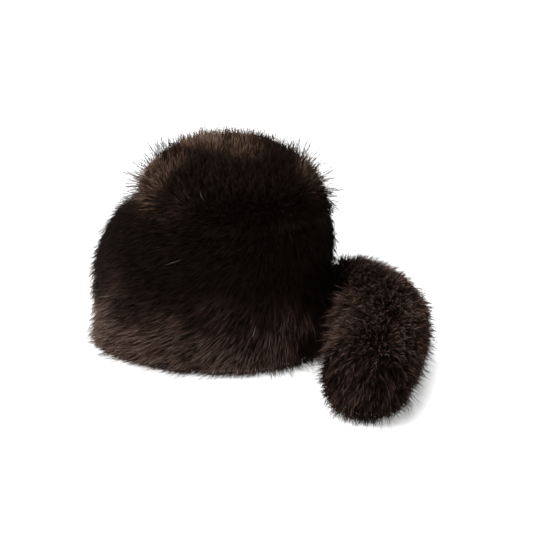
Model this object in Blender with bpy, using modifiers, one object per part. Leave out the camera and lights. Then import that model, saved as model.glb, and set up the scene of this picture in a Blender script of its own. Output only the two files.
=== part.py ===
"""A fur bucket hat with a tail, standing on its brim.

A thin pelt wall makes the hollow for the head. The crown's fur sits round its dome and the deep, rolled
brim round its lower half. A bushy tail is sewn on behind, lies on the surface and curls round to one
side. The front faces -Y, the tail leaves towards +Y, and +Z is up. Deep fur is made as pointed locks
that stand on a backing, one closed body for each piece of fur.
"""

import math
import random

import bmesh
import bpy
from mathutils import Vector

# Hollow for the head
HEAD_LENGTH = 0.188
HEAD_WIDTH = 0.166
HEAD_SPRING = 0.092  # height at which the hollow starts to close over the head
HEAD_RISE = 0.038  # top of the hollow above the seam between crown and brim
HEAD_BOXINESS = 2.7  # exponent of the dome's profile: 2 is round, higher is squarer

# Pelt, the skin that the fur grows on
PELT_WALL = 0.0025
PELT_LIFT = 0.003  # lower edge of the pelt above the surface
SEAT_GAP = 0.0003
FUR_CLEARANCE = 0.0009  # fur's backing off the pelt, whose flats lean a little differently

# Crown fur, from the pelt's widest outline to the roots of the locks
SEAM_HEIGHT = 0.166
CROWN_BACKING = 0.0060
TOP_BACKING = 0.024
CROWN_SHIFT = 0.009  # how far the crown's top leans to the front

# Brim, from the crown's fur to the roots of the brim's locks at its fullest
BRIM_FRONT = 0.052
BRIM_SIDE = 0.008
BRIM_BACK = 0.005

# Tail
TAIL_RADIUS = 0.046
TAIL_LENGTH = 0.266
TAIL_ASIDE = 0.008  # root of the tail from the hat's middle, away from the side that it curls to
TAIL_BEND_RADIUS = 0.062  # quarter turn behind the hat
TAIL_SWEEP_RADIUS = 0.340  # slower curl that follows
TAIL_SETTLE = 0.94  # height of the tail's middle as a share of its radius, flattened below
TAIL_SEAT = 0.003  # how deep the brim is pressed flat where the tail is sewn on
TAIL_SEAT_TOP = 0.098  # height up to which it is pressed flat

# Locks of fur
LOCK_RISE = 0.011
LOCK_LEAN = 0.012
LOCK_WIDTH = 0.014
LOCK_UNEVEN = 0.30  # share by which one lock's length differs from the next
LOCK_STRAY = 0.35  # how far a lock turns off the combed direction, as a slope
LOCK_FLOOR = 0.0006  # lowest point of a lock above the surface
LOCK_LEAST = 0.10  # share of a lock's size under which none stands
SEAM_LOCK = 0.25  # share of its size that a lock on the brim's seam keeps
CROWN_COMBED_DOWN = 0.007  # how far the crown's fur dips as it is combed outwards
BRIM_COMBED_FORWARD = 0.45  # how far forward the brim's fur is combed for one down
FLOOR_FADE = 0.022  # height over which the tail's locks grow to their full size
LOCK_SEED = 11

# Rows and columns of locks
DOME_ROWS = 8
SKIRT_ROWS = 5
TAIL_COLUMNS = 22

# Crown fur's rows, from the top down to the seam: share of its rise, share of its widest outline
CROWN_ROWS = (
    # height, reach
    (1.000, 0.00),
    (0.990, 0.17),
    (0.960, 0.34),
    (0.900, 0.51),
    (0.800, 0.65),
    (0.660, 0.77),
    (0.470, 0.87),
    (0.240, 0.95),
    (0.000, 1.00),
)

# Brim's rows, from the seam down to the surface: share of the seam's height, share of the brim's depth
BRIM_ROWS = (
    # height, depth
    (1.000, 0.00),
    (0.980, 0.26),
    (0.905, 0.50),
    (0.800, 0.70),
    (0.675, 0.87),
    (0.535, 0.97),
    (0.395, 1.00),
    (0.260, 0.99),
    (0.140, 0.98),
    (0.045, 0.97),
    (0.000, 0.94),
)

# Tail's rings, from root to end: share of its length, share of its radius
TAIL_ROWS = (
    # along, radius
    (0.000, 0.55),
    (0.032, 0.86),
    (0.080, 1.00),
    (0.150, 1.04),
    (0.220, 1.00),
    (0.290, 1.00),
    (0.360, 1.00),
    (0.430, 0.99),
    (0.500, 0.97),
    (0.570, 0.96),
    (0.640, 0.95),
    (0.710, 0.94),
    (0.780, 0.93),
    (0.845, 0.93),
    (0.910, 0.92),
    (0.962, 0.85),
    (0.990, 0.66),
    (1.000, 0.36),
)

# Soft dents pressed into the crown's fur: direction, half width, depth as a share of CROWN_SHIFT
CROWN_DENTS = (
    # turn (degrees from +X), half width (degrees), depth
    (-52.0, 20.0, 0.75),
    (64.0, 24.0, 0.55),
    (150.0, 26.0, 0.55),
)

# Colours, linear
PELT_COLOUR = (0.20, 0.15, 0.11, 1.0)
CROWN_COLOUR = (0.012, 0.008, 0.006, 1.0)
BRIM_COLOUR = (0.024, 0.016, 0.013, 1.0)
TAIL_COLOUR = (0.016, 0.010, 0.008, 1.0)


def clear_scene():
    """Removes the objects that a new scene holds."""
    for thing in list(bpy.data.objects):
        bpy.data.objects.remove(thing, do_unlink=True)


def fur_material(name, colour, roughness):
    """A plain dielectric finish for one sub-part."""
    material = bpy.data.materials.new(name)
    material.use_nodes = True
    shader = material.node_tree.nodes["Principled BSDF"]
    shader.inputs["Base Color"].default_value = colour
    shader.inputs["Roughness"].default_value = roughness
    shader.inputs["Metallic"].default_value = 0.0
    return material


def add_object(bm, name, material, collection):
    """Makes one named object from a bmesh, with its faces pointing out."""
    mesh = bpy.data.meshes.new(name)
    bm.to_mesh(mesh)
    bm.free()
    mesh.materials.append(material)
    thing = bpy.data.objects.new(name, mesh)
    collection.objects.link(thing)
    return thing


def plan(turn, front, side, back):
    """A point of an egg-shaped outline: front and back halves of an ellipse with unlike lengths."""
    across = math.cos(turn)
    along = math.sin(turn)
    return Vector((side * across, (back if along > 0.0 else front) * along, 0.0))


def disc_angle(x, y):
    """The angle of a square grid's point once its square rings are drawn as circles."""
    if x == 0.0 and y == 0.0:
        return 0.0
    if abs(x) >= abs(y):
        angle = math.pi / 4 * y / x + (math.pi if x < 0.0 else 0.0)
    else:
        angle = math.pi / 2 - math.pi / 4 * x / y + (math.pi if y < 0.0 else 0.0)
    return angle % math.tau


def dome_grid(skirt_rows):
    """An open dome whose rings grow by eight points each, with a skirt of equal rings below it.

    Each point carries its row, counted from the top, and its turn, the angle from +X.
    """
    bm = bmesh.new()
    bmesh.ops.create_grid(bm, x_segments=2 * DOME_ROWS, y_segments=2 * DOME_ROWS, size=DOME_ROWS)
    row = bm.verts.layers.float.new("row")
    turn = bm.verts.layers.float.new("turn")
    for vertex in bm.verts:
        x, y = round(vertex.co.x), round(vertex.co.y)
        vertex[row] = max(abs(x), abs(y))
        vertex[turn] = disc_angle(x, y)
    for _ in range(skirt_rows):
        rim = [edge for edge in bm.edges if edge.is_boundary]
        grown = bmesh.ops.extrude_edge_only(bm, edges=rim)["geom"]
        for vertex in grown:
            if isinstance(vertex, bmesh.types.BMVert):
                vertex[row] += 1.0
    return bm, row, turn


def place(vertices, row, turn, form):
    """Moves each point to where its row and turn put it."""
    for vertex in vertices:
        vertex.co = form(vertex[row], vertex[turn])


def head_reach(height):
    """The hollow's width at a height, as a share of its width at the opening."""
    share = (height - HEAD_SPRING) / (SEAM_HEIGHT + HEAD_RISE - HEAD_SPRING)
    return (1.0 - max(share, 0.0) ** HEAD_BOXINESS) ** (1.0 / HEAD_BOXINESS)


def head_form(row, turn):
    """A point of the hollow for the head."""
    closing = SEAM_HEIGHT + HEAD_RISE - HEAD_SPRING
    power = 2.0 / HEAD_BOXINESS
    if row <= DOME_ROWS:
        seam_angle = math.acos(((SEAM_HEIGHT - HEAD_SPRING) / closing) ** (1.0 / power))
        angle = seam_angle * row / DOME_ROWS
        reach = math.sin(angle) ** power
        height = HEAD_SPRING + closing * math.cos(angle) ** power
    else:
        height = SEAM_HEIGHT - (SEAM_HEIGHT - PELT_LIFT) * (row - DOME_ROWS) / SKIRT_ROWS
        reach = head_reach(height)
    point = plan(turn, HEAD_LENGTH / 2, HEAD_WIDTH / 2, HEAD_LENGTH / 2) * reach
    point.z = height
    return point


def crown_size():
    """Half the crown fur's length and width at the seam, to the roots of its locks."""
    around = PELT_WALL + FUR_CLEARANCE + CROWN_BACKING
    return HEAD_LENGTH / 2 + around, HEAD_WIDTH / 2 + around


def crown_form(row, turn):
    """A point of the crown fur's outer side, at the roots of its locks."""
    height, reach = CROWN_ROWS[round(row)]
    half_length, half_width = crown_size()
    point = plan(turn, half_length, half_width, half_length) * reach
    point.y -= CROWN_SHIFT * height
    for direction, half, depth in CROWN_DENTS:
        apart = math.degrees(turn) - direction
        apart = (apart + 180.0) % 360.0 - 180.0
        dent = math.exp(-((apart / half) ** 2)) * depth * CROWN_SHIFT * math.sin(math.pi * height)
        point -= Vector((math.cos(turn), math.sin(turn), 0.0)) * dent
    rise = HEAD_RISE + PELT_WALL + TOP_BACKING
    point.z = SEAM_HEIGHT + SEAT_GAP + rise * height
    return point


def brim_point(height, depth, turn):
    """A point of the brim's outer side, at the roots of its locks."""
    half_length, half_width = crown_size()
    point = plan(
        turn,
        half_length + BRIM_FRONT * depth,
        half_width + BRIM_SIDE * depth,
        half_length + BRIM_BACK * depth,
    )
    point.z = SEAM_HEIGHT * height
    if point.z < TAIL_SEAT_TOP:
        point.y = min(point.y, tail_seat_y())
    return point


def tail_seat_y():
    """Where the brim's back is pressed flat for the tail."""
    return crown_size()[0] + BRIM_BACK - TAIL_SEAT


def tail_spot(distance):
    """The tail's middle and heading after a distance along it."""
    bend = min(distance / TAIL_BEND_RADIUS, math.pi / 2)
    spot = Vector((-TAIL_ASIDE, tail_seat_y() + SEAT_GAP, 0.0))
    spot += Vector((1.0 - math.cos(bend), math.sin(bend), 0.0)) * TAIL_BEND_RADIUS
    heading = bend
    left = distance - bend * TAIL_BEND_RADIUS
    if left > 0.0:
        curl = left / TAIL_SWEEP_RADIUS
        spot += Vector((math.sin(curl), math.cos(curl) - 1.0, 0.0)) * TAIL_SWEEP_RADIUS
        heading += curl
    return spot, Vector((math.sin(heading), math.cos(heading), 0.0))


def tail_ring(along, radius_share):
    """One ring of the tail's backing, flat where it would pass below the surface."""
    spot, heading = tail_spot(TAIL_LENGTH * along)
    side = Vector((heading.y, -heading.x, 0.0))
    radius = TAIL_RADIUS * radius_share
    ring = []
    for column in range(TAIL_COLUMNS):
        angle = math.tau * (column + 0.5) / TAIL_COLUMNS
        point = spot + side * (radius * math.cos(angle))
        point.z = max(TAIL_RADIUS * TAIL_SETTLE + radius * math.sin(angle), 0.0)
        ring.append(point)
    return ring


def loft(rings, closed):
    """A skin of four-sided faces through rings of equally many points, and its faces row by row."""
    bm = bmesh.new()
    loops = [[bm.verts.new(point) for point in ring] for ring in rings]
    pairs = list(zip(loops, loops[1:]))
    if closed:
        pairs.append((loops[-1], loops[0]))
    rows = []
    for upper, lower in pairs:
        count = len(upper)
        rows.append(
            [
                bm.faces.new((upper[i], upper[(i + 1) % count], lower[(i + 1) % count], lower[i]))
                for i in range(count)
            ]
        )
    return bm, loops, rows


def raise_locks(bm, faces, flow, room, uneven):
    """Stands one pointed lock on each face, combed along flow, and shorter where there is less room."""
    faces = [face for face in faces if room(face.calc_center_median()) > LOCK_LEAST]
    tips = bmesh.ops.poke(bm, faces=faces)["verts"]
    for tip in tips:
        tip.normal_update()
        normal = tip.normal.copy()
        combed = flow(tip.co)
        combed -= normal * combed.dot(normal)
        combed.normalize()
        combed += normal.cross(combed) * (LOCK_STRAY * uneven.uniform(-1.0, 1.0))
        width = math.sqrt(sum(face.calc_area() for face in tip.link_faces))
        size = min(width / LOCK_WIDTH, 1.0) * room(tip.co)
        size *= 1.0 + LOCK_UNEVEN * (uneven.random() - 0.5)
        tip.co += normal * (LOCK_RISE * size) + combed * (LOCK_LEAN * size)
        tip.co.z = max(tip.co.z, LOCK_FLOOR)


def pelt_face():
    """The pelt as an open dome with a skirt, and the points just outside its wall, by row and turn."""
    bm, row, turn = dome_grid(SKIRT_ROWS)
    place(bm.verts, row, turn, head_form)
    bmesh.ops.recalc_face_normals(bm, faces=bm.faces[:])
    if min(bm.faces, key=lambda face: -face.calc_center_median().z).normal.z < 0.0:
        bmesh.ops.reverse_faces(bm, faces=bm.faces[:])
    bm.normal_update()
    outside = {}
    for vertex in bm.verts:
        point = vertex.co + vertex.normal * (PELT_WALL + FUR_CLEARANCE)
        outside[round(vertex[row]), vertex[turn]] = point
    return bm, outside


def on_seam(outside, turn, height):
    """The point outside the pelt at a height close to the seam, in line with its two nearest rows."""
    upper, lower = outside[DOME_ROWS, turn], outside[DOME_ROWS + 1, turn]
    return upper.lerp(lower, (upper.z - height) / (upper.z - lower.z))


def make_pelt(collection):
    """The thin skin wall round the hollow for the head, open below."""
    bm, _ = pelt_face()
    material = fur_material("pelt suede", PELT_COLOUR, 0.9)
    pelt = add_object(bm, "crown_pelt", material, collection)
    wall = pelt.modifiers.new("wall", "SOLIDIFY")
    wall.thickness = PELT_WALL
    wall.offset = 1.0
    pelt.data.shade_smooth()
    return pelt


def make_crown_fur(collection, uneven):
    """The fur of the crown: locks on a backing that sits round the pelt's dome."""
    _, outside = pelt_face()
    bm, row, turn = dome_grid(0)
    inner = bm.verts[:]
    grown = bmesh.ops.extrude_face_region(bm, geom=bm.faces[:])["geom"]
    outer = [part for part in grown if isinstance(part, bmesh.types.BMVert)]
    place(outer, row, turn, crown_form)
    for vertex in inner:
        if vertex[row] == DOME_ROWS:
            vertex.co = on_seam(outside, vertex[turn], SEAM_HEIGHT + SEAT_GAP)
        else:
            vertex.co = outside[round(vertex[row]), vertex[turn]]
    bmesh.ops.recalc_face_normals(bm, faces=bm.faces[:])

    def flow(spot):
        return Vector((spot.x, spot.y + CROWN_SHIFT, -CROWN_COMBED_DOWN))

    def room(spot):
        return min(1.0, (spot.z - SEAM_HEIGHT) / LOCK_RISE)

    coat = set(outer)
    faces = [face for face in bm.faces if all(vertex in coat for vertex in face.verts)]
    raise_locks(bm, faces, flow, room, uneven)
    return add_object(bm, "crown_fur", fur_material("crown fur", CROWN_COLOUR, 0.75), collection)


def make_brim_fur(collection, uneven):
    """The deep rolled brim: locks on a backing round the pelt's lower half, flat where it stands."""
    _, outside = pelt_face()
    turns = sorted(turn for row, turn in outside if row == DOME_ROWS)
    rings = [[brim_point(height, depth, turn) for turn in turns] for height, depth in BRIM_ROWS]
    inner = [
        [outside[row, turn] for turn in turns]
        for row in range(DOME_ROWS + SKIRT_ROWS, DOME_ROWS, -1)
    ]
    inner.append([on_seam(outside, turn, SEAM_HEIGHT) for turn in turns])
    standing = [Vector((point.x, point.y, 0.0)) for point in inner[0]]
    bm, _, rows = loft(rings + [standing] + inner, closed=True)
    bmesh.ops.recalc_face_normals(bm, faces=bm.faces[:])
    root = Vector((-TAIL_ASIDE, tail_seat_y(), TAIL_RADIUS * TAIL_SETTLE))
    bare = TAIL_RADIUS + LOCK_RISE + SEAT_GAP

    def flow(spot):
        return Vector((0.0, -BRIM_COMBED_FORWARD, -1.0))

    def room(spot):
        below_seam = (SEAM_HEIGHT - spot.z) / LOCK_RISE
        from_tail = ((spot - root).length - bare) / LOCK_WIDTH
        return max(0.0, min(1.0, SEAM_LOCK + below_seam, from_tail))

    coat = [face for row in rows[: len(BRIM_ROWS) - 1] for face in row]
    raise_locks(bm, coat, flow, room, uneven)
    return add_object(bm, "brim_fur", fur_material("brim fur", BRIM_COLOUR, 0.75), collection)


def make_tail_fur(collection, uneven):
    """The bushy tail, lying on the surface and curling to one side."""
    bm, loops, rows = loft([tail_ring(along, radius) for along, radius in TAIL_ROWS], closed=False)
    bm.faces.new(loops[0])
    bm.faces.new(loops[-1])
    bmesh.ops.recalc_face_normals(bm, faces=bm.faces[:])

    def flow(spot):
        nearest = min(TAIL_ROWS, key=lambda ring: (tail_spot(TAIL_LENGTH * ring[0])[0] - spot).xy.length)
        return tail_spot(TAIL_LENGTH * nearest[0])[1]

    def room(spot):
        off_floor = spot.z / FLOOR_FADE
        off_root = (spot.y - tail_seat_y()) / FLOOR_FADE if spot.x < TAIL_BEND_RADIUS else 1.0
        return max(0.0, min(1.0, off_floor, off_root))

    coat = [face for row in rows for face in row]
    raise_locks(bm, coat, flow, room, uneven)
    return add_object(bm, "tail_fur", fur_material("tail fur", TAIL_COLOUR, 0.75), collection)


def stand_over_origin(parts):
    """Moves the parts together so that the middle of the object's box is over the origin."""
    points = [part.matrix_world @ vertex.co for part in parts for vertex in part.data.vertices]
    middle_x = (min(point.x for point in points) + max(point.x for point in points)) / 2
    middle_y = (min(point.y for point in points) + max(point.y for point in points)) / 2
    for part in parts:
        part.location = (-middle_x, -middle_y, 0.0)


def main():
    clear_scene()
    collection = bpy.data.collections.new("fur_bucket_hat")
    bpy.context.scene.collection.children.link(collection)
    uneven = random.Random(LOCK_SEED)
    parts = [
        make_pelt(collection),
        make_crown_fur(collection, uneven),
        make_brim_fur(collection, uneven),
        make_tail_fur(collection, uneven),
    ]
    stand_over_origin(parts)


main()
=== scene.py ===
"""Dresses the fur bucket hat: a suede pelt, soft coats for the crown, brim and tail, and the fur on them.

Each coat is the solid's own form made soft. Its points carry the way the fur is combed, how far it
stands and how light it is. Geometry Nodes then plant every hair on the coat, bend and gather it, and
write the map that the fur's colours are read from.
"""

import math

import bmesh
import bpy
import numpy as np
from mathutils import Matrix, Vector, noise
from mathutils.bvhtree import BVHTree


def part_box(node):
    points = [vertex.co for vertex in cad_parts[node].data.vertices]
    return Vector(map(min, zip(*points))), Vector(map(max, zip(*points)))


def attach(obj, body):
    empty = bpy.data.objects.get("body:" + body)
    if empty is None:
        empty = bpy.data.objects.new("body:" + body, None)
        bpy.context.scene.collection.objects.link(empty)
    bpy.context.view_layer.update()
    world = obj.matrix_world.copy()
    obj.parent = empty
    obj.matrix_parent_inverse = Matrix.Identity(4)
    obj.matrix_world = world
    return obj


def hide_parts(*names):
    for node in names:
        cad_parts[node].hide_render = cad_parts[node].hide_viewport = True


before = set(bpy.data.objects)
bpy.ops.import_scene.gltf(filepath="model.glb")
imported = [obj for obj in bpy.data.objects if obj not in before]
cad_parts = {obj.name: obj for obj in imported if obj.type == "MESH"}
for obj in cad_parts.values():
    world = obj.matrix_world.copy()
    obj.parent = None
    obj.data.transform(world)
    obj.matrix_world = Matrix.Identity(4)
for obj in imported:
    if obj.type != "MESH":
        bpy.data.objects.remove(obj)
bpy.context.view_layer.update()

bl_info = {
    "name": "Fur Bucket Hat",
    "version": (1, 0, 0),
    "blender": (4, 5, 0),
    "location": "3D View > Sidebar > Fur Hat",
    "description": "Grows the fur of a bucket hat with a tail and sets the stage round it",
    "category": "Object",
}

# Places on the hat, from the frame
PELT_LOW, PELT_HIGH = (Vector(corner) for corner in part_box("crown_pelt"))
CROWN_LOW, CROWN_HIGH = (Vector(corner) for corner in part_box("crown_fur"))
TAIL_LOW = Vector(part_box("tail_fur")[0])
HAT_MIDDLE = (PELT_LOW + PELT_HIGH) / 2
SEAM = CROWN_LOW.z
HAT_HALF_WIDTH = (CROWN_HIGH.x - CROWN_LOW.x) / 2

# The map that the fur's colours are read from: tone across, root to tip upwards
FUR_MAP = "OFBake"

# A coat is fixed nearer to the pelt than the first, free past the second, never sinks within the third
PELT_FIXED = 0.0025
PELT_FREE = 0.008
PELT_SKIN = 0.0035

# Lowest height of a coat, how near doubles are, and how far each evening moves a point to its neighbours
FLOOR_SKIN = 0.0003
DOUBLES = 1e-5
SMOOTHING = 0.7

# The longest hairs stand this many times their reach, which is held back where a coat faces the pelt
LONGEST_SHARE = 1.5
FACING_PELT = 0.5

# How a hair of length 1 rises, droops and flows along its combed direction
HAIR_RISE = 0.95
HAIR_DROOP = 0.45
HAIR_FLOW = 0.35
HAIR_CURVE = 0.5
GATHER_CURVE = 1.3

# Tones on the map
DARKEST_TONE = 0.02
LIGHTEST_TONE = 0.8
PALE_TONE = 0.97
TONE_ACROSS = 0.02
BLOTCH_SCALE = 45.0
BROWN_STOP = 0.35
LIGHT_STOP = 0.75

# Share of a hair's height where it leaves its root colour and where it has its tip's colour
ROOT_ENDS = 0.25
TIP_STARTS = 0.88

# Ragged borders between dark and light zones
RAGGED_SCALE = 22.0

# Half lengths along the hat that the tones, the bare top of the brim and its seat are measured by
TONE_LENGTH = 0.14
CROWN_HALF_LENGTH = 0.100
SEAM_HALF_LENGTH = 0.110

# How light the hat's fur is: shares that are added up. The low share is partly the fur's own lighter tips
# and partly painted sheen, the front, top and side shares are painted light, and the loss behind is
# painted shade
BASE_TONE = 0.01
CROWN_TONE = 0.05
LOW_TONE_AND_SHEEN = 0.42
LOW_FRONT_LIGHT_TONE = 0.14
BACK_SHADE_LOSS = 0.85
TOP_RIM_LIGHT_TONE = 0.58
SIDE_RIM_LIGHT_TONE = 0.32
SIDE_FRONT_RIM_LIGHT_TONE = 0.16

# The same for the tail, with painted light on its upper side and painted shadow at its root against the
# hat
TAIL_TONE = 0.27
TAIL_TOP_LIGHT_TONE = 0.05
TAIL_ROOT_SHADE_LOSS = 0.24
TAIL_TIP_LOSS = 0.08

# The hat's fur slants forward and down, in degrees, by this much more for each metre towards the back
SLANT = 45.0
SLANT_GROWTH = 520.0
SLANT_LEAST = 24.0
SLANT_MOST = 100.0
CROWN_LEAN = 0.75
FOOT_LEAN_LOSS = 0.4

# How far hair stands, in metres, and what is added or taken off in places
CROWN_REACH = 0.023
CROWN_WISP_REACH = 0.048
CROWN_WISP_SIDE = 0.010
CROWN_WISP_TOP_LOSS = 0.021
BRIM_REACH = 0.024
BRIM_FRONT = 0.002
BRIM_BESIDE_TAIL = 0.006
BRIM_SHOULDER_LOSS = 0.006
BRIM_FOOT_LOSS = 0.008
BRIM_WISP_FOOT = 0.010
TAIL_REACH = 0.024
TAIL_ROOT_SHORTER = 0.005
TAIL_TOWARD_HAT = 0.010

# Lengths of the longer hairs, for each unit of reach
CROWN_GUARD_LENGTH = 1.25
GUARD_LENGTH = 1.3
BRIM_WISP_LENGTH = 1.45

# Fine hairs on the crown for each that its share gives, and the share of pale ones on the tail
CROWN_WISPS = 2.0
TAIL_PALE_SHARE = 0.003

# The middle of the tail's bend, from the hollow's middle and the tail's edge, and the way past it
TAIL_BEND_ACROSS = -0.008
TAIL_BEND_RADIUS = 0.062
TAIL_BEND_ALONG = 0.008
TAIL_HEADING = (1.0, -0.30, 0.0)
TAIL_OUTWARD = 0.45
TAIL_LEAN = 0.72
TAIL_LEAN_LOSS_INSIDE = 0.4
TAIL_LEAN_LOSS_END = 0.15

# Stage
FLOOR_SIZE = 40.0
FLOOR_GREY = (0.93, 0.93, 0.93, 1.0)
WHITE = (1.0, 1.0, 1.0, 1.0)
FLOOR_GLOW = 0.35
PICTURE_SIZE = 533
SENSOR_WIDTH = 36.0
LAMPS = (
    # name, towards, spread in degrees, strength
    ("key", (0.55, -0.75, 1.1), 55.0, 3.4),
    ("back", (-0.7, -0.1, 1.0), 50.0, 2.4),
)


class FurSizes(bpy.types.PropertyGroup):
    """Sizes of the coats and hairs."""

    voxel: bpy.props.FloatProperty(
        name="Coat Fineness",
        description="Size of the cells that the soft coats are made in",
        default=0.0045,
        unit="LENGTH",
    )
    soften: bpy.props.IntProperty(
        name="Soften", description="How often a coat's points are evened out", default=14
    )
    sink: bpy.props.FloatProperty(
        name="Sink",
        description="How far a coat lies inside the evened solid, so that hair hides it",
        default=0.009,
        unit="LENGTH",
    )
    crown_sink: bpy.props.FloatProperty(
        name="Crown Sink",
        description="How far the crown's coat lies inside, under fur that stands up",
        default=0.010,
        unit="LENGTH",
    )
    hair_width: bpy.props.FloatProperty(
        name="Hair Width",
        description="Width of a short hair, drawn wider than a real one",
        default=0.0009,
        unit="LENGTH",
    )
    guard_width: bpy.props.FloatProperty(
        name="Guard Hair Width", description="Width of a long hair", default=0.00058, unit="LENGTH"
    )
    wisp_width: bpy.props.FloatProperty(
        name="Wisp Width", description="Width of a fine hair", default=0.00035, unit="LENGTH"
    )
    crown_hairs: bpy.props.IntProperty(
        name="Crown Hairs", description="Short hairs on the crown", default=18500
    )
    brim_hairs: bpy.props.IntProperty(
        name="Brim Hairs", description="Short hairs on the brim", default=36000
    )
    tail_hairs: bpy.props.IntProperty(
        name="Tail Hairs", description="Short hairs on the tail", default=19500
    )
    guard_share: bpy.props.FloatProperty(
        name="Guard Share",
        description="Long hairs for each short one",
        default=0.42,
        subtype="FACTOR",
    )
    wisp_share: bpy.props.FloatProperty(
        name="Wisp Share",
        description="Fine, far-reaching hairs for each short one",
        default=0.09,
        subtype="FACTOR",
    )


class FurColours(bpy.types.PropertyGroup):
    """Colours of the fur and the pelt."""

    root: bpy.props.FloatVectorProperty(
        name="Root",
        description="Fur at its roots",
        size=3,
        subtype="COLOR",
        default=(0.0016, 0.0010, 0.0007),
    )
    dark: bpy.props.FloatVectorProperty(
        name="Dark",
        description="Darkest tips",
        size=3,
        subtype="COLOR",
        default=(0.0060, 0.0034, 0.0022),
    )
    brown: bpy.props.FloatVectorProperty(
        name="Brown",
        description="Brown tips",
        size=3,
        subtype="COLOR",
        default=(0.030, 0.0165, 0.0108),
    )
    fawn: bpy.props.FloatVectorProperty(
        name="Fawn",
        description="Light tips on the crown",
        size=3,
        subtype="COLOR",
        default=(0.150, 0.085, 0.0555),
    )
    ash: bpy.props.FloatVectorProperty(
        name="Ash",
        description="Light tips on the brim and tail",
        size=3,
        subtype="COLOR",
        default=(0.140, 0.083, 0.0645),
    )
    pale: bpy.props.FloatVectorProperty(
        name="Pale",
        description="The few palest hairs",
        size=3,
        subtype="COLOR",
        default=(0.34, 0.28, 0.23),
    )
    suede: bpy.props.FloatVectorProperty(
        name="Suede",
        description="Inside of the pelt",
        size=3,
        subtype="COLOR",
        default=(0.21, 0.155, 0.11),
    )


class StageSizes(bpy.types.PropertyGroup):
    """Camera, floor and light."""

    elevation: bpy.props.FloatProperty(
        name="Elevation",
        description="How far the camera looks down",
        default=math.radians(23.08),
        subtype="ANGLE",
    )
    distance: bpy.props.FloatProperty(
        name="Distance", description="From the hat to the camera", default=1.872, unit="LENGTH"
    )
    pixel: bpy.props.FloatProperty(
        name="Pixel", description="Width of one pixel at the hat", default=0.0011685, unit="LENGTH"
    )
    aim_along: bpy.props.FloatProperty(
        name="Aim Along",
        description="Camera's aim behind the middle of the hollow",
        default=0.0366,
        unit="LENGTH",
    )
    aim_up: bpy.props.FloatProperty(
        name="Aim Up", description="Camera's aim up the picture", default=0.0799, unit="LENGTH"
    )
    world: bpy.props.FloatProperty(
        name="Room Light", description="Strength of the room's light", default=0.45
    )


class Net:
    """Adds nodes to one tree and joins them as it goes."""

    def __init__(self, tree):
        self.tree = tree

    def add(self, kind, values=None, **settings):
        """A new node with its settings, and a value or a link for each named input."""
        node = self.tree.nodes.new(kind)
        for name, value in settings.items():
            setattr(node, name, value)
        for name, value in (values or {}).items():
            self.give(node.inputs[name], value)
        return node

    def give(self, socket, value):
        if isinstance(value, bpy.types.NodeSocket):
            self.tree.links.new(value, socket)
        else:
            socket.default_value = value

    def math(self, operation, *values, clamp=False):
        inputs = dict(enumerate(values))
        return self.add("ShaderNodeMath", inputs, operation=operation, use_clamp=clamp).outputs[0]

    def vector(self, operation, *values):
        node = self.add("ShaderNodeVectorMath", operation=operation)
        places = (0, 3) if operation == "SCALE" else range(len(values))
        for place, value in zip(places, values):
            self.give(node.inputs[place], value)
        return node.outputs["Value" if operation == "LENGTH" else "Vector"]

    def named(self, name, data_type):
        kind = "GeometryNodeInputNamedAttribute"
        return self.add(kind, {"Name": name}, data_type=data_type).outputs["Attribute"]

    def store(self, geometry, name, value, data_type, domain="POINT"):
        node = self.add(
            "GeometryNodeStoreNamedAttribute",
            {"Geometry": geometry, "Name": name},
            data_type=data_type,
            domain=domain,
        )
        self.give(node.inputs["Value"], value)
        return node.outputs["Geometry"]


HAIR_INPUTS = (
    # name, kind, default
    ("Density", "NodeSocketFloat", 300000.0),
    ("Seed", "NodeSocketInt", 1),
    ("Rings", "NodeSocketInt", 2),
    ("Length", "NodeSocketFloat", 1.0),
    ("Lean", "NodeSocketFloat", 1.0),
    ("Uneven", "NodeSocketFloat", 0.4),
    ("Width", "NodeSocketFloat", 0.0005),
    ("Stray", "NodeSocketFloat", 0.2),
    ("Wave", "NodeSocketFloat", 0.5),
    ("Wave Scale", "NodeSocketFloat", 45.0),
    ("Gather", "NodeSocketFloat", 0.5),
    ("Tufts", "NodeSocketFloat", 40000.0),
    ("Tuft Uneven", "NodeSocketFloat", 0.35),
    ("Tuft Tone", "NodeSocketFloat", 0.4),
    ("Tone Spread", "NodeSocketFloat", 0.3),
    ("Patches", "NodeSocketFloat", 1.5),
    ("Lighten", "NodeSocketFloat", 1.0),
    ("Least Contrast", "NodeSocketFloat", 0.08),
    ("Pale Share", "NodeSocketFloat", 0.01),
    ("Floor", "NodeSocketFloat", 0.0004),
)


# What the tree and the coats store on the way, and the finished hair doesn't keep
WORKING_VALUES = (
    "root", "stem", "heart", "way", "chance", "along", "across",
    "comb", "reach", "tone", "cover", "free", "spare",
)


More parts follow.
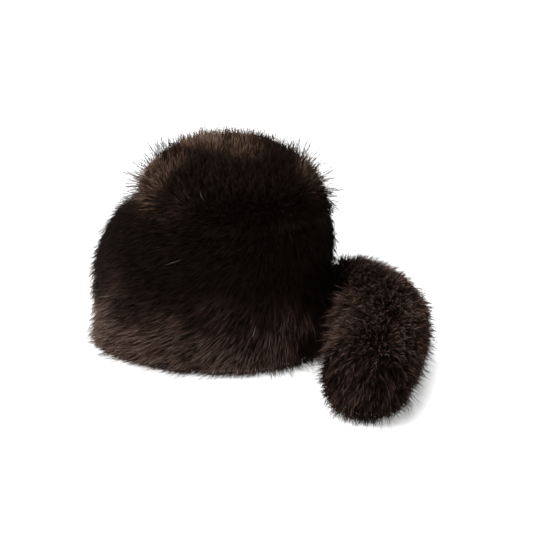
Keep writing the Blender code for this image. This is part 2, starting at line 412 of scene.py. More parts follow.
def hair_tree():
    """Geometry Nodes that plant hairs on a coat and comb, bend, gather and colour them."""
    tree = bpy.data.node_groups.new("plant_hair", "GeometryNodeTree")
    tree.interface.new_socket("Geometry", in_out="INPUT", socket_type="NodeSocketGeometry")
    for name, kind, default in HAIR_INPUTS:
        tree.interface.new_socket(name, in_out="INPUT", socket_type=kind).default_value = default
    tree.interface.new_socket("Material", in_out="INPUT", socket_type="NodeSocketMaterial")
    tree.interface.new_socket("Geometry", in_out="OUTPUT", socket_type="NodeSocketGeometry")
    net = Net(tree)
    asked = net.add("NodeGroupInput").outputs

    # Roots, one for each hair, and the tufts that they gather towards
    density = net.math("MULTIPLY", asked["Density"], net.named("cover", "FLOAT"))
    planted = net.add(
        "GeometryNodeDistributePointsOnFaces",
        {"Mesh": asked["Geometry"], "Seed": asked["Seed"], "Density": density},
    )
    hearts = net.add(
        "GeometryNodeDistributePointsOnFaces",
        {
            "Mesh": asked["Geometry"],
            "Seed": net.math("ADD", asked["Seed"], 50.0),
            "Density": asked["Tufts"],
        },
    ).outputs["Points"]
    spot = net.add("GeometryNodeInputPosition").outputs[0]
    nearest = net.add("GeometryNodeSampleNearest", {"Geometry": hearts}, domain="POINT")
    heart = net.add(
        "GeometryNodeSampleIndex",
        {"Geometry": hearts, "Index": nearest.outputs["Index"]},
        data_type="FLOAT_VECTOR",
        domain="POINT",
    )
    net.give(heart.inputs["Value"], spot)
    drawn = net.add("FunctionNodeRandomValue", {"Seed": asked["Seed"]}, data_type="FLOAT").outputs
    chance = next(out for out in drawn if out.type == "VALUE")
    way = net.add("FunctionNodeRandomValue", {"Seed": asked["Seed"]}, data_type="FLOAT_VECTOR")
    net.give(way.inputs["Min"], (-1.0, -1.0, -1.0))
    net.give(way.inputs["Max"], (1.0, 1.0, 1.0))
    roots = net.store(planted.outputs["Points"], "stem", planted.outputs["Normal"], "FLOAT_VECTOR")
    roots = net.store(roots, "root", spot, "FLOAT_VECTOR")
    roots = net.store(roots, "heart", heart.outputs["Value"], "FLOAT_VECTOR")
    roots = net.store(roots, "way", way.outputs["Value"], "FLOAT_VECTOR")
    roots = net.store(roots, "chance", chance, "FLOAT")

    # One hair, closed and pointed at both ends, standing one unit tall
    hair = net.add("GeometryNodeMeshUVSphere", {"Segments": 3, "Rings": asked["Rings"], "Radius": 0.5})
    many = net.add("GeometryNodeInstanceOnPoints", {"Points": roots, "Instance": hair.outputs["Mesh"]})
    grown = net.add("GeometryNodeRealizeInstances", {"Geometry": many.outputs[0]}).outputs[0]

    # Each point's share of the way from root to tip, and its place across the hair
    root = net.named("root", "FLOAT_VECTOR")
    stem = net.named("stem", "FLOAT_VECTOR")
    comb = net.named("comb", "FLOAT_VECTOR")
    chance = net.named("chance", "FLOAT")
    own = net.vector("SUBTRACT", spot, root)
    parts = net.add("ShaderNodeSeparateXYZ", {0: own}).outputs
    grown = net.store(grown, "along", net.math("ADD", parts[2], 0.5, clamp=True), "FLOAT")
    grown = net.store(grown, "across", parts[0], "FLOAT")
    along = net.named("along", "FLOAT")
    along_2 = net.math("MULTIPLY", along, along)

    # Combed direction, with slow swirls that follow the place
    noise = net.add(
        "ShaderNodeTexNoise",
        {"Vector": net.named("heart", "FLOAT_VECTOR"), "Scale": asked["Wave Scale"], "Detail": 1.0},
        noise_dimensions="3D",
    ).outputs["Color"]
    swirl = net.vector("SCALE", net.vector("SUBTRACT", noise, (0.5, 0.5, 0.5)), asked["Wave"])
    combed = net.vector("SCALE", net.vector("ADD", comb, swirl), asked["Lean"])
    lean = net.math("MULTIPLY", net.vector("LENGTH", comb), asked["Lean"])

    # The bent middle line of the hair
    length = net.math("MULTIPLY", net.named("reach", "FLOAT"), asked["Length"])
    short = net.math("MULTIPLY", asked["Uneven"], chance)
    length = net.math("MULTIPLY", length, net.math("SUBTRACT", 1.0, short))
    heart_at = net.named("heart", "FLOAT_VECTOR")
    tuft = net.add("ShaderNodeTexWhiteNoise", {"Vector": heart_at}).outputs["Value"]
    lower = net.math("MULTIPLY", asked["Tuft Uneven"], tuft)
    length = net.math("MULTIPLY", length, net.math("SUBTRACT", 1.0, lower))
    droop = net.math("MULTIPLY", net.math("MULTIPLY", along_2, lean), HAIR_DROOP)
    rise = net.math("SUBTRACT", net.math("MULTIPLY", along, HAIR_RISE), droop)
    curve = net.math("MULTIPLY", along_2, HAIR_CURVE)
    flow = net.math("ADD", net.math("MULTIPLY", along, HAIR_FLOW), curve)
    line = net.vector("ADD", net.vector("SCALE", stem, rise), net.vector("SCALE", combed, flow))
    stray = net.math("MULTIPLY", asked["Stray"], along_2)
    line = net.vector("ADD", line, net.vector("SCALE", net.named("way", "FLOAT_VECTOR"), stray))
    line = net.vector("SCALE", line, length)
    apart = net.vector("SUBTRACT", heart_at, root)
    gather = net.math("MULTIPLY", asked["Gather"], net.math("POWER", along, GATHER_CURVE))
    line = net.vector("ADD", line, net.vector("SCALE", apart, gather))

    # Its width, across the combed direction
    never_zero = net.vector("ADD", comb, (0.01, 0.0, 0.02))
    side = net.vector("NORMALIZE", net.vector("CROSS_PRODUCT", stem, never_zero))
    ahead = net.vector("NORMALIZE", net.vector("ADD", stem, comb))
    other = net.vector("CROSS_PRODUCT", ahead, side)
    wide = net.vector("SCALE", side, net.math("MULTIPLY", parts[0], asked["Width"]))
    deep = net.vector("SCALE", other, net.math("MULTIPLY", parts[1], asked["Width"]))
    place = net.vector("ADD", net.vector("ADD", root, line), net.vector("ADD", wide, deep))

    # None goes below the floor: there it lies flat and keeps its thickness
    xyz = net.add("ShaderNodeSeparateXYZ", {0: place}).outputs
    thick = net.math("MULTIPLY", net.math("ADD", parts[0], 0.5), asked["Width"])
    low = net.math("ADD", asked["Floor"], thick)
    height = net.math("MAXIMUM", xyz[2], low)
    flat = net.add("ShaderNodeCombineXYZ", {0: xyz[0], 1: xyz[1], 2: height}).outputs[0]
    bent = net.add("GeometryNodeSetPosition", {"Geometry": grown, "Position": flat}).outputs[0]

    # Tone, from the coat, the tuft and the hair itself
    blotch = net.add(
        "ShaderNodeTexNoise",
        {"Vector": heart_at, "Scale": BLOTCH_SCALE, "Detail": 2.0},
        noise_dimensions="3D",
    ).outputs[0]
    shade = net.math("MULTIPLY", net.math("SUBTRACT", 0.5, chance), asked["Tone Spread"])
    of_tuft = net.math("MULTIPLY", net.math("SUBTRACT", 0.5, tuft), asked["Tuft Tone"])
    of_patch = net.math("MULTIPLY", net.math("SUBTRACT", blotch, 0.5), asked["Patches"])
    shade = net.math("ADD", net.math("ADD", shade, of_tuft), of_patch)
    tone = net.math("MULTIPLY", net.named("tone", "FLOAT"), net.math("ADD", shade, asked["Lighten"]))
    tone = net.math("ADD", tone, net.math("MULTIPLY", shade, asked["Least Contrast"]))
    tone = net.math("MINIMUM", net.math("MAXIMUM", tone, DARKEST_TONE), LIGHTEST_TONE)
    pale = net.math("LESS_THAN", chance, asked["Pale Share"])
    tone = net.math("MAXIMUM", tone, net.math("MULTIPLY", pale, PALE_TONE))
    tone = net.math("ADD", tone, net.math("MULTIPLY", net.named("across", "FLOAT"), TONE_ACROSS))
    spot_on_map = net.add("ShaderNodeCombineXYZ", {0: tone, 1: along, 2: 0.0}).outputs[0]
    smooth = net.add("GeometryNodeSetShadeSmooth", {"Geometry": bent, "Shade Smooth": True})
    bare = net.store(smooth.outputs[0], FUR_MAP, spot_on_map, "FLOAT2", "CORNER")
    for name in WORKING_VALUES:
        bare = net.add("GeometryNodeRemoveAttribute", {"Geometry": bare, "Name": name}).outputs[0]
    done = net.add("GeometryNodeSetMaterial", {"Geometry": bare, "Material": asked["Material"]})
    net.add("NodeGroupOutput", {"Geometry": done.outputs[0]})
    return tree


def fur_material(name, light):
    """Fur that is near black at its roots and runs to brown, light or pale tips."""
    colours = bpy.context.scene.fur_colours
    material = bpy.data.materials.new(name)
    material.use_nodes = True
    net = Net(material.node_tree)
    shader = material.node_tree.nodes["Principled BSDF"]
    place = net.add("ShaderNodeUVMap", uv_map=FUR_MAP).outputs["UV"]
    parts = net.add("ShaderNodeSeparateXYZ", {0: place}).outputs
    tips = net.add("ShaderNodeValToRGB", {0: parts[0]})
    stops = (
        (0.0, colours.dark),
        (BROWN_STOP, colours.brown),
        (LIGHT_STOP, light),
        (PALE_TONE, colours.pale),
    )
    ramp = tips.color_ramp
    while len(ramp.elements) < len(stops):
        ramp.elements.new(1.0)
    for element, (position, colour) in zip(ramp.elements, stops):
        element.position = position
        element.color = (*colour, 1.0)
    upward = net.add(
        "ShaderNodeMapRange",
        {"Value": parts[1], "From Min": ROOT_ENDS, "From Max": TIP_STARTS},
        interpolation_type="SMOOTHSTEP",
    ).outputs[0]
    mix = net.add("ShaderNodeMix", {"Factor": upward}, data_type="RGBA")
    net.give(mix.inputs[6], (*colours.root, 1.0))
    net.give(mix.inputs[7], tips.outputs[0])
    net.give(shader.inputs["Base Color"], mix.outputs[2])
    shader.inputs["Roughness"].default_value = 0.6
    shader.inputs["Specular IOR Level"].default_value = 0.03
    return material


def coat_material():
    """The dark, downy coat between the hairs."""
    colours = bpy.context.scene.fur_colours
    material = bpy.data.materials.new("downy coat")
    material.use_nodes = True
    net = Net(material.node_tree)
    shader = material.node_tree.nodes["Principled BSDF"]
    place = net.add("ShaderNodeTexCoord").outputs["Object"]
    grain = net.add("ShaderNodeTexNoise", {"Vector": place, "Scale": 420.0, "Detail": 4.0})
    mix = net.add("ShaderNodeMix", {"Factor": grain.outputs[0]}, data_type="RGBA")
    net.give(mix.inputs[6], (*colours.root, 1.0))
    net.give(mix.inputs[7], (*colours.dark, 1.0))
    net.give(shader.inputs["Base Color"], mix.outputs[2])
    bump = net.add("ShaderNodeBump", {"Strength": 0.8, "Distance": 0.002, "Height": grain.outputs[0]})
    net.give(shader.inputs["Normal"], bump.outputs[0])
    shader.inputs["Roughness"].default_value = 0.95
    shader.inputs["Specular IOR Level"].default_value = 0.1
    return material


def suede_material():
    """The skin side of the pelt: matt, mottled and finely napped."""
    colours = bpy.context.scene.fur_colours
    material = bpy.data.materials.new("pelt suede")
    material.use_nodes = True
    net = Net(material.node_tree)
    shader = material.node_tree.nodes["Principled BSDF"]
    place = net.add("ShaderNodeTexCoord").outputs["Object"]
    blotch = net.add("ShaderNodeTexNoise", {"Vector": place, "Scale": 22.0, "Detail": 5.0})
    nap = net.add("ShaderNodeTexNoise", {"Vector": place, "Scale": 900.0, "Detail": 3.0})
    mix = net.add("ShaderNodeMix", {"Factor": blotch.outputs[0]}, data_type="RGBA")
    net.give(mix.inputs[6], (*(0.7 * value for value in colours.suede), 1.0))
    net.give(mix.inputs[7], (*(1.25 * value for value in colours.suede), 1.0))
    net.give(shader.inputs["Base Color"], mix.outputs[2])
    bump = net.add("ShaderNodeBump", {"Strength": 0.5, "Distance": 0.0006, "Height": nap.outputs[0]})
    net.give(shader.inputs["Normal"], bump.outputs[0])
    shader.inputs["Roughness"].default_value = 0.92
    shader.inputs["Sheen Weight"].default_value = 0.3
    return material


def shared(name, make, *values):
    """A node group or material that is made once."""
    found = bpy.data.node_groups.get(name) or bpy.data.materials.get(name)
    return found or make(*values)


def fur_for(slot):
    """The fur material of one piece: fawn tips on the crown, ashen ones on the brim and tail."""
    colours = bpy.context.scene.fur_colours
    if slot == "crown_fur":
        return shared("fawn fur", fur_material, "fawn fur", colours.fawn)
    return shared("ashen fur", fur_material, "ashen fur", colours.ash)


def plain_mesh(thing, name):
    """The evaluated object as a plain mesh in a new object at the origin."""
    graph = bpy.context.evaluated_depsgraph_get()
    mesh = bpy.data.meshes.new_from_object(thing.evaluated_get(graph))
    mesh.name = name
    made = bpy.data.objects.new(name, mesh)
    bpy.context.scene.collection.objects.link(made)
    return made


def solid_copy(node):
    """A node's mesh with its doubles merged, as a new object."""
    bm = bmesh.new()
    bm.from_mesh(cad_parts[node].data)
    bmesh.ops.remove_doubles(bm, verts=bm.verts[:], dist=DOUBLES)
    mesh = bpy.data.meshes.new(node + "_copy")
    bm.to_mesh(mesh)
    bm.free()
    made = bpy.data.objects.new(node + "_copy", mesh)
    bpy.context.scene.collection.objects.link(made)
    return made


def points_of(mesh):
    """A mesh's points, a row each."""
    found = np.empty(len(mesh.vertices) * 3)
    mesh.vertices.foreach_get("co", found)
    return found.reshape(-1, 3)


def normals_of(mesh):
    """The normals at a mesh's points, a row each."""
    found = np.empty(len(mesh.vertices) * 3)
    mesh.vertex_normals.foreach_get("vector", found)
    return found.reshape(-1, 3)


def smooth_step(low, high, value):
    """0 up to low, 1 from high on, and an even curve between them."""
    share = np.clip((value - low) / (high - low), 0.0, 1.0)
    return share * share * (3.0 - 2.0 * share)


def keep_largest(mesh):
    """Deletes all but the largest connected piece of a mesh."""
    bm = bmesh.new()
    bm.from_mesh(mesh)
    left = set(bm.verts)
    pieces = []
    while left:
        piece, edge = set(), [left.pop()]
        while edge:
            vertex = edge.pop()
            piece.add(vertex)
            near = {link.other_vert(vertex) for link in vertex.link_edges} & left
            left -= near
            edge.extend(near)
        pieces.append(piece)
    largest = max(pieces, key=len)
    bmesh.ops.delete(bm, geom=[vertex for vertex in bm.verts if vertex not in largest], context="VERTS")
    bm.to_mesh(mesh)
    bm.free()


def soft_coat(node, name, depth, seat):
    """The node's solid made soft: its locks evened out and its fur side drawn in.

    The points where seat is 1 meet another piece and stay where they are.
    """
    sizes = bpy.context.scene.fur_sizes
    rough = solid_copy(node)
    remesh = rough.modifiers.new("cells", "REMESH")
    remesh.mode = "VOXEL"
    remesh.voxel_size = sizes.voxel
    coat = plain_mesh(rough, name)
    bpy.data.objects.remove(rough, do_unlink=True)
    keep_largest(coat.data)

    pelt = solid_copy("crown_pelt")
    corners = [vertex.co for vertex in pelt.data.vertices]
    tree = BVHTree.FromPolygons(corners, [polygon.vertices for polygon in pelt.data.polygons])
    bpy.data.objects.remove(pelt, do_unlink=True)
    mesh = coat.data
    at = points_of(mesh)
    from_pelt = np.array([tree.find_nearest(Vector(point))[3] for point in at])
    free = smooth_step(PELT_FIXED, PELT_FREE, from_pelt) * (1.0 - seat(at, normals_of(mesh)))

    edges = np.empty(len(mesh.edges) * 2, dtype=np.int64)
    mesh.edges.foreach_get("vertices", edges)
    a, b = edges.reshape(-1, 2).T
    count = np.bincount(a, minlength=len(at)) + np.bincount(b, minlength=len(at))
    for _ in range(sizes.soften):
        total = np.zeros_like(at)
        np.add.at(total, a, at[b])
        np.add.at(total, b, at[a])
        at += (total / count[:, None] - at) * (SMOOTHING * free)[:, None]
    at[:, 2] = np.maximum(at[:, 2], FLOOR_SKIN)
    mesh.vertices.foreach_set("co", at.ravel())
    mesh.update()
    foot = smooth_step(-0.004, 0.030, at[:, 2])
    sink = np.minimum(depth * foot, np.maximum(from_pelt - PELT_SKIN, 0.0)) * free
    at -= normals_of(mesh) * sink[:, None]
    at[:, 2] = np.maximum(at[:, 2], FLOOR_SKIN)
    mesh.vertices.foreach_set("co", at.ravel())
    mesh.update()
    mesh.shade_smooth()
    mesh.materials.clear()
    mesh.materials.append(shared("downy coat", coat_material))
    write(mesh, "free", free)

    # Hair that points at the pelt stays short of it, so that none enters the hollow
    at, normals = points_of(mesh), normals_of(mesh)
    nearest = np.array([tree.find_nearest(Vector(point))[0] for point in at])
    facing = (normals * unit(nearest - at)).sum(1)
    spare = np.linalg.norm(nearest - at, axis=1) / LONGEST_SHARE
    write(mesh, "spare", np.where(facing > FACING_PELT, spare, 1.0))
    return coat


def write_reach(mesh, reach):
    """Writes how far the hair stands, held back where it would grow through the pelt."""
    write(mesh, "reach", np.minimum(reach, read(mesh, "spare")))


def write(mesh, name, values):
    """Puts one value for each point on the mesh, replacing what it had."""
    values = np.asarray(values, dtype=np.float32)
    kind = "FLOAT_VECTOR" if values.ndim == 2 else "FLOAT"
    if name in mesh.attributes:
        mesh.attributes.remove(mesh.attributes[name])
    made = mesh.attributes.new(name, kind, "POINT")
    made.data.foreach_set("vector" if values.ndim == 2 else "value", values.ravel())


def read(mesh, name):
    """One number for each point of a mesh."""
    found = np.empty(len(mesh.vertices))
    mesh.attributes[name].data.foreach_get("value", found)
    return found


def along_surface(vectors, normals):
    """Vectors with their part along the normal taken out."""
    return vectors - normals * (vectors * normals).sum(1)[:, None]


def unit(vectors):
    """Vectors of length 1."""
    return vectors / np.maximum(np.linalg.norm(vectors, axis=1), 1e-9)[:, None]


def from_axis(at, half_length):
    """How far out points are from the hat's axis: 1 on an oval of the crown's width."""
    across = (at[:, 0] - HAT_MIDDLE.x) / HAT_HALF_WIDTH
    return np.hypot(across, (at[:, 1] - HAT_MIDDLE.y) / half_length)


def hat_comb(at, normals):
    """How the hat's fur is combed and how far it leans: up on the crown, forward and down below."""
    slant = SLANT + (at[:, 1] - HAT_MIDDLE.y) * SLANT_GROWTH
    slant = np.radians(np.clip(slant, SLANT_LEAST, SLANT_MOST))
    down = np.stack([np.zeros(len(at)), -np.cos(slant), -np.sin(slant)], 1)
    up = smooth_step(SEAM - 0.006, SEAM + 0.040, at[:, 2])
    rising = along_surface(np.tile([0.0, 0.0, CROWN_LEAN], (len(at), 1)), normals)
    falling = unit(along_surface(down, normals))
    foot = 1.0 - FOOT_LEAN_LOSS * (1.0 - smooth_step(0.0, 0.035, at[:, 2]))
    return rising * up[:, None] + falling * ((1.0 - up) * foot)[:, None]


def hat_tone(at, normals):
    """How light the hat's fur is: dark in the middle, warmer on top with painted rim light, lightest low
    in front with painted sheen and painted light, darker behind and at the foot with painted shade.
    """
    ragged = np.array([noise.noise(Vector(point) * RAGGED_SCALE) for point in at])
    along = (at[:, 1] - HAT_MIDDLE.y) / TONE_LENGTH + 0.3 * ragged
    # The front, on the key lamp's side, gets painted light; the back, away from it, gets painted shade
    front = smooth_step(0.0, 0.9, -along)
    back = smooth_step(0.2, 0.7, along)
    # A lighter band low down: partly the fur's own lighter tips, partly painted sheen
    low = 1.0 - smooth_step(0.005, 0.128, at[:, 2] + 0.035 * ragged)
    # Painted rim light along the crown's top
    top = smooth_step(SEAM + 0.048, SEAM + 0.066, at[:, 2] + 0.008 * ragged)
    # Painted rim light at the crown's sides, stronger on the lit front
    side = smooth_step(SEAM - 0.01, SEAM + 0.02, at[:, 2])
    side *= smooth_step(0.36, 0.66, np.abs(along))
    crown = smooth_step(SEAM + 0.01, SEAM + 0.04, at[:, 2])
    # Painted contact shade where the fur meets the floor
    foot = 0.55 + 0.45 * smooth_step(0.002, 0.018, at[:, 2])
    lower = low * foot * (LOW_TONE_AND_SHEEN + LOW_FRONT_LIGHT_TONE * front) * (1.0 - BACK_SHADE_LOSS * back)
    tone = BASE_TONE + CROWN_TONE * crown + lower
    return tone + TOP_RIM_LIGHT_TONE * top + (SIDE_RIM_LIGHT_TONE + SIDE_FRONT_RIM_LIGHT_TONE * front) * side


def plant(coat, name, slot, count, sizes, where=None):
    """One piece of hair on a coat, as a plain mesh, thicker where the coat's cover is."""
    mesh = coat.data
    cover = read(mesh, "cover")
    kept = cover if where is None else cover * where
    write(mesh, "cover", kept)
    area = 0.0
    for polygon in mesh.polygons:
        area += polygon.area * kept[list(polygon.vertices)].mean()
    tree = shared("plant_hair", hair_tree)
    planting = coat.modifiers.new("hair", "NODES")
    planting.node_group = tree
    asked = dict(sizes, Density=count / area, Material=fur_for(slot))
    for item in tree.interface.items_tree:
        if item.in_out == "INPUT" and item.name in asked:
            planting[item.identifier] = asked[item.name]
    hair = plain_mesh(coat, name)
    coat.modifiers.remove(planting)
    write(mesh, "cover", cover)
    hair.data.uv_layers.active = hair.data.uv_layers[FUR_MAP]
    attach(hair, "root")
    return hair


def coat_for(node, comb, reach, tone, cover, depth, seat):
    """Makes a node's coat and writes on it how its fur grows."""
    coat = soft_coat(node, node + "_coat", depth, seat)
    mesh = coat.data
    at, normals = points_of(mesh), normals_of(mesh)
    free = read(mesh, "free")
    write(mesh, "comb", comb(at, normals))
    write_reach(mesh, reach(at, normals))
    write(mesh, "tone", tone(at, normals))
    write(mesh, "cover", cover(at, normals) * smooth_step(0.5, 0.9, free))
    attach(coat, "root")
    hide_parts(node)
    return coat


# Short woolly hair, long guard hair and fine loose hair: values for the tree's inputs
UNDER = {
    "Rings": 2,
    "Uneven": 0.45,
    "Stray": 0.13,
    "Wave": 0.6,
    "Wave Scale": 34.0,
    "Gather": 0.5,
    "Tufts": 70000.0,
    "Tuft Uneven": 0.25,
    "Tuft Tone": 1.3,
    "Tone Spread": 1.2,
    "Lighten": 0.62,
    "Pale Share": 0.0,
}
GUARD = {
    "Rings": 3,
    "Uneven": 0.5,
    "Stray": 0.22,
    "Wave": 0.6,
    "Wave Scale": 34.0,
    "Gather": 0.3,
    "Tufts": 70000.0,
    "Tuft Uneven": 0.25,
    "Tuft Tone": 1.2,
    "Tone Spread": 2.3,
    "Lighten": 1.55,
    "Pale Share": 0.0002,
}
WISP = {
    "Rings": 3,
    "Uneven": 0.35,
    "Stray": 0.22,
    "Wave": 0.6,
    "Wave Scale": 34.0,
    "Gather": 0.1,
    "Tufts": 30000.0,
    "Tuft Uneven": 0.0,
    "Tuft Tone": 0.0,
    "Tone Spread": 0.6,
    "Lighten": 0.9,
    "Lean": 0.75,
    "Pale Share": 0.0012,
}


class FUR_HAT_OT_pelt(bpy.types.Operator):
    """Finishes the pelt that makes the hollow for the head"""

    bl_idname = "fur_hat.pelt"
    bl_label = "Pelt"

    def execute(self, context):
        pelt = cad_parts["crown_pelt"]
        pelt.data.materials.clear()
        pelt.data.materials.append(shared("pelt suede", suede_material))
        return {"FINISHED"}


class FUR_HAT_OT_crown(bpy.types.Operator):
    """Makes the crown's coat and its fur"""

    bl_idname = "fur_hat.crown"
    bl_label = "Crown Fur"

    def execute(self, context):
        sizes = context.scene.fur_sizes

        def reach(at, normals):
            return np.full(len(at), CROWN_REACH)

        def cover(at, normals):
            return smooth_step(SEAM - 0.002, SEAM + 0.003, at[:, 2]) * (normals[:, 2] > -0.6)

        def seat(at, normals):
            return (at[:, 2] < SEAM + 0.005) & (normals[:, 2] < -0.6)

        coat = coat_for("crown_fur", hat_comb, reach, hat_tone, cover, sizes.crown_sink, seat)
        count = sizes.crown_hairs
        short = dict(UNDER, Seed=3, Width=sizes.hair_width)
        plant(coat, "crown_underfur", "crown_fur", count, short)
        guards = round(count * sizes.guard_share)
        long = dict(GUARD, Seed=5, Width=sizes.guard_width, Length=CROWN_GUARD_LENGTH)
        plant(coat, "crown_guard_hair", "crown_fur", guards, long)
        at = points_of(coat.data)
        side = smooth_step(0.05, 0.09, np.abs(at[:, 1] - HAT_MIDDLE.y))
        top = smooth_step(SEAM + 0.03, SEAM + 0.06, at[:, 2])
        loose = CROWN_WISP_REACH + CROWN_WISP_SIDE * side - CROWN_WISP_TOP_LOSS * top
        write_reach(coat.data, loose)
        fine = dict(WISP, Seed=6, Width=sizes.wisp_width)
        wisps = round(CROWN_WISPS * count * sizes.wisp_share)
        plant(coat, "crown_wisps", "crown_fur", wisps, fine)
        return {"FINISHED"}


class FUR_HAT_OT_brim(bpy.types.Operator):
    """Makes the brim's coat and its fur"""

    bl_idname = "fur_hat.brim"
    bl_label = "Brim Fur"

    def execute(self, context):
        sizes = context.scene.fur_sizes

        def reach(at, normals):
            foot = 1.0 - smooth_step(0.0, 0.02, at[:, 2])
            front = smooth_step(0.02, 0.12, HAT_MIDDLE.y - at[:, 1])
            beside_tail = smooth_step(0.05, 0.09, at[:, 1] - HAT_MIDDLE.y) * (at[:, 2] < 0.11)
            shoulder = smooth_step(0.135, 0.160, at[:, 2])
            longer = BRIM_REACH + BRIM_FRONT * front + BRIM_BESIDE_TAIL * beside_tail
            return longer - BRIM_SHOULDER_LOSS * shoulder - BRIM_FOOT_LOSS * foot

        def cover(at, normals):
            bottom = (normals[:, 2] < -0.75) & (at[:, 2] < 0.006)
            foot = 1.0 - smooth_step(0.006, 0.020, at[:, 2])
            under_crown = (normals[:, 2] > 0.8) & (from_axis(at, CROWN_HALF_LENGTH) < 0.88)
            return (1.0 + 0.8 * foot) * (1.0 - np.maximum(bottom * 0.9, under_crown))

        def seat(at, normals):
            return (at[:, 2] > SEAM - 0.006) & (from_axis(at, SEAM_HALF_LENGTH) < 0.9)

        coat = coat_for("brim_fur", hat_comb, reach, hat_tone, cover, sizes.sink, seat)
        right = (points_of(coat.data)[:, 0] > HAT_MIDDLE.x).astype(float)
        short = dict(UNDER, Width=sizes.hair_width)
        half = sizes.brim_hairs // 2
        plant(coat, "brim_underfur_right", "brim_fur", half, dict(short, Seed=7), right)
        plant(coat, "brim_underfur_left", "brim_fur", half, dict(short, Seed=8), 1.0 - right)
        guards = round(sizes.brim_hairs * sizes.guard_share)
        long = dict(GUARD, Seed=9, Width=sizes.guard_width, Length=GUARD_LENGTH)
        plant(coat, "brim_guard_hair_right", "brim_fur", guards // 2, long, right)
        plant(coat, "brim_guard_hair_left", "brim_fur", guards // 2, long, 1.0 - right)
        at = points_of(coat.data)
        front = smooth_step(0.02, 0.12, HAT_MIDDLE.y - at[:, 1])
        outer = np.maximum(front, smooth_step(0.0, 0.06, at[:, 0] - HAT_MIDDLE.x))
        foot = 1.0 - smooth_step(0.004, 0.03, at[:, 2])
        write_reach(coat.data, reach(at, None) + BRIM_WISP_FOOT * outer * foot)
        fine = dict(WISP, Seed=10, Width=sizes.wisp_width, Length=BRIM_WISP_LENGTH)
        plant(coat, "brim_wisps", "brim_fur", round(sizes.brim_hairs * sizes.wisp_share), fine)
        return {"FINISHED"}


class FUR_HAT_OT_tail(bpy.types.Operator):
    """Makes the tail's coat and its fur"""

    bl_idname = "fur_hat.tail"
    bl_label = "Tail Fur"

    def execute(self, context):
        sizes = context.scene.fur_sizes
        bend_x = HAT_MIDDLE.x + TAIL_BEND_ACROSS + TAIL_BEND_RADIUS
        bend = Vector((bend_x, TAIL_LOW.y + TAIL_BEND_ALONG, 0.0))

        def toward_hat(at, normals):
            """1 on the tail's inner side, where its fur closes the gap to the hat."""
            beside = 1.0 - smooth_step(0.06, 0.10, at[:, 0] - HAT_MIDDLE.x)
            return smooth_step(0.2, 0.9, -normals[:, 1]) * beside

        def comb(at, normals):
            spoke = at - np.array([bend.x, bend.y, 0.0])
            turning = np.stack([spoke[:, 1], -spoke[:, 0], np.zeros(len(at))], 1)
            straight = np.tile(np.array(TAIL_HEADING), (len(at), 1))
            past = smooth_step(-0.01, 0.03, at[:, 0] - bend.x)[:, None]
            heading = unit(turning) * (1.0 - past) + unit(straight) * past
            heading = unit(heading)
            end = smooth_step(0.35, 0.9, (heading * normals).sum(1))[:, None]
            heading += TAIL_OUTWARD * normals * np.array([1.0, 1.0, 0.0])
            heading = heading * (1.0 - end) + np.array([0.0, 0.0, -1.0]) * end
            inside = TAIL_LEAN_LOSS_INSIDE * toward_hat(at, normals)
            lean = TAIL_LEAN - inside - TAIL_LEAN_LOSS_END * end[:, 0]
            return unit(along_surface(heading, normals)) * lean[:, None]

        def reach(at, normals):
            root = 1.0 - smooth_step(0.0, 0.05, at[:, 1] - TAIL_LOW.y)
            inner = TAIL_TOWARD_HAT * toward_hat(at, normals)
            return TAIL_REACH - TAIL_ROOT_SHORTER * root + inner

        def tone(at, normals):
            # Painted shadow on the tail's root, in the gap where it lies against the hat
            past = 0.3 * np.maximum(at[:, 0] - bend.x, 0.0)
            root = 1.0 - smooth_step(0.01, 0.055, at[:, 1] - TAIL_LOW.y + past)
            # Painted light on the tail's upward-facing side
            up = smooth_step(0.2, 1.0, normals[:, 2])
            tip = smooth_step(0.09, 0.16, at[:, 0] - bend.x)
            return TAIL_TONE + TAIL_TOP_LIGHT_TONE * up - TAIL_ROOT_SHADE_LOSS * root - TAIL_TIP_LOSS * tip

        def cover(at, normals):
            return np.where((normals[:, 2] < -0.7) & (at[:, 2] < 0.008), 0.25, 1.0)

        def seat(at, normals):
            return np.zeros(len(at))

        coat = coat_for("tail_fur", comb, reach, tone, cover, sizes.sink, seat)
        count = sizes.tail_hairs
        short = dict(UNDER, Seed=11, Width=sizes.hair_width)
        plant(coat, "tail_underfur", "tail_fur", count, short)
        guards = round(count * sizes.guard_share)
        long = dict(GUARD, Seed=13, Width=sizes.guard_width, Length=GUARD_LENGTH)
        plant(coat, "tail_guard_hair", "tail_fur", guards, long)
        fine = dict(WISP, Seed=14, Width=sizes.wisp_width, Length=LONGEST_SHARE)
        fine["Pale Share"] = TAIL_PALE_SHARE
        plant(coat, "tail_wisps", "tail_fur", round(count * sizes.wisp_share), fine)
        return {"FINISHED"}


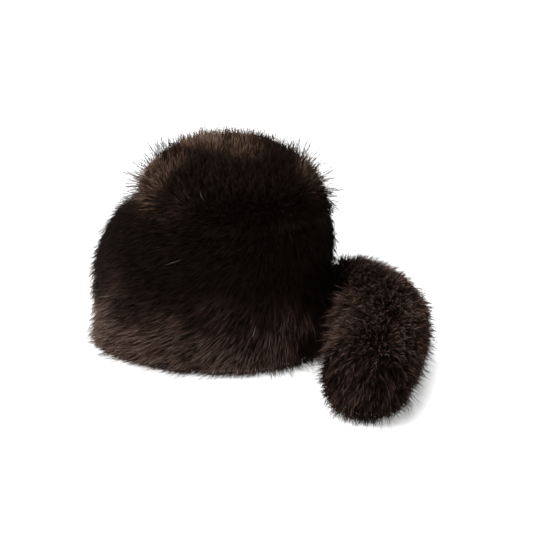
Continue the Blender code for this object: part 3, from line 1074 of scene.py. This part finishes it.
class FUR_HAT_OT_stage(bpy.types.Operator):
    """Sets the pale floor, the soft light and the camera"""

    bl_idname = "fur_hat.stage"
    bl_label = "Stage"

    def execute(self, context):
        stage = context.scene.stage_sizes
        scene = context.scene
        bpy.ops.mesh.primitive_plane_add(size=FLOOR_SIZE, location=(0.0, 0.0, 0.0))
        floor = context.object
        floor.name = "floor"
        paint = bpy.data.materials.new("pale floor")
        paint.use_nodes = True
        shader = paint.node_tree.nodes["Principled BSDF"]
        shader.inputs["Base Color"].default_value = FLOOR_GREY
        shader.inputs["Roughness"].default_value = 0.9
        shader.inputs["Specular IOR Level"].default_value = 0.0
        shader.inputs["Emission Color"].default_value = WHITE
        shader.inputs["Emission Strength"].default_value = FLOOR_GLOW
        floor.data.materials.append(paint)

        world = bpy.data.worlds.new("room")
        world.use_nodes = True
        sky = world.node_tree.nodes["Background"]
        sky.inputs["Color"].default_value = WHITE
        sky.inputs["Strength"].default_value = stage.world
        scene.world = world
        scene.view_settings.view_transform = "Standard"

        for name, towards, spread, power in LAMPS:
            lamp = bpy.data.lights.new(name, "SUN")
            lamp.energy = power
            lamp.angle = math.radians(spread)
            light = bpy.data.objects.new(name, lamp)
            light.rotation_euler = Vector(towards).to_track_quat("Z", "Y").to_euler()
            scene.collection.objects.link(light)

        up = Vector((-math.sin(stage.elevation), 0.0, math.cos(stage.elevation)))
        back = Vector((math.cos(stage.elevation), 0.0, math.sin(stage.elevation)))
        aim = Vector((HAT_MIDDLE.x, HAT_MIDDLE.y + stage.aim_along, 0.0)) + up * stage.aim_up
        lens = bpy.data.cameras.new("camera")
        lens.sensor_width = SENSOR_WIDTH
        lens.lens = SENSOR_WIDTH * stage.distance / (PICTURE_SIZE * stage.pixel)
        camera = bpy.data.objects.new("camera", lens)
        camera.location = aim + back * stage.distance
        camera.rotation_euler = (-back).to_track_quat("-Z", "Y").to_euler()
        scene.collection.objects.link(camera)
        scene.camera = camera
        return {"FINISHED"}


class VIEW3D_PT_fur_hat(bpy.types.Panel):
    """Lists the hat's sizes, colours and pieces"""

    bl_label = "Fur Hat"
    bl_idname = "VIEW3D_PT_fur_hat"
    bl_space_type = "VIEW_3D"
    bl_region_type = "UI"
    bl_category = "Fur Hat"

    def draw(self, context):
        for group in (context.scene.fur_sizes, context.scene.fur_colours, context.scene.stage_sizes):
            box = self.layout.box()
            for name in group.__annotations__:
                box.prop(group, name)
        for operator in OPERATORS:
            self.layout.operator(operator.bl_idname)


OPERATORS = (
    FUR_HAT_OT_pelt,
    FUR_HAT_OT_crown,
    FUR_HAT_OT_brim,
    FUR_HAT_OT_tail,
    FUR_HAT_OT_stage,
)
CLASSES = (FurSizes, FurColours, StageSizes, *OPERATORS, VIEW3D_PT_fur_hat)


def register():
    for kind in CLASSES:
        bpy.utils.register_class(kind)
    bpy.types.Scene.fur_sizes = bpy.props.PointerProperty(type=FurSizes)
    bpy.types.Scene.fur_colours = bpy.props.PointerProperty(type=FurColours)
    bpy.types.Scene.stage_sizes = bpy.props.PointerProperty(type=StageSizes)


def unregister():
    del bpy.types.Scene.fur_sizes
    del bpy.types.Scene.fur_colours
    del bpy.types.Scene.stage_sizes
    for kind in reversed(CLASSES):
        bpy.utils.unregister_class(kind)


def main():
    register()
    bpy.ops.fur_hat.stage()
    bpy.ops.fur_hat.pelt()
    bpy.ops.fur_hat.crown()
    bpy.ops.fur_hat.brim()
    bpy.ops.fur_hat.tail()


if __name__ == "__main__":
    main()
